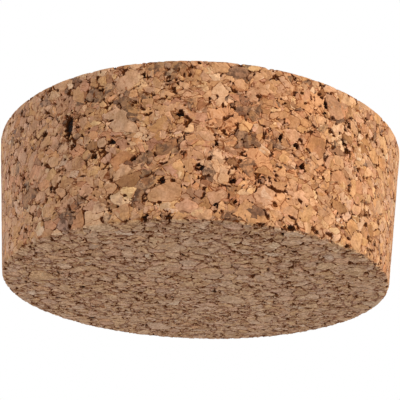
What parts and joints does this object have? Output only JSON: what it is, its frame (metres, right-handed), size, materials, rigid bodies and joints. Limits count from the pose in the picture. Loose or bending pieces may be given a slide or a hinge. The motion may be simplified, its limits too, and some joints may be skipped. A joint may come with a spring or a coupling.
{
  "type": "cork stopper",
  "caption": "Wide, low tapered stopper of pressed cork granules that wedges into the neck of a jar or a drum.",
  "frame": {"origin": "centre of the narrow end, which the stopper stands on", "axes": "+Z along the stopper's axis, from the narrow end to the wide end; the stopper is round, so X and Y are any two directions across it"},
  "size_m": [0.076, 0.076, 0.0255],
  "materials": {
    "cork": "matt, ground, granular"
  },
  "bodies": {
    "root": {"stopper": "cork"}
  },
  "joints": []
}
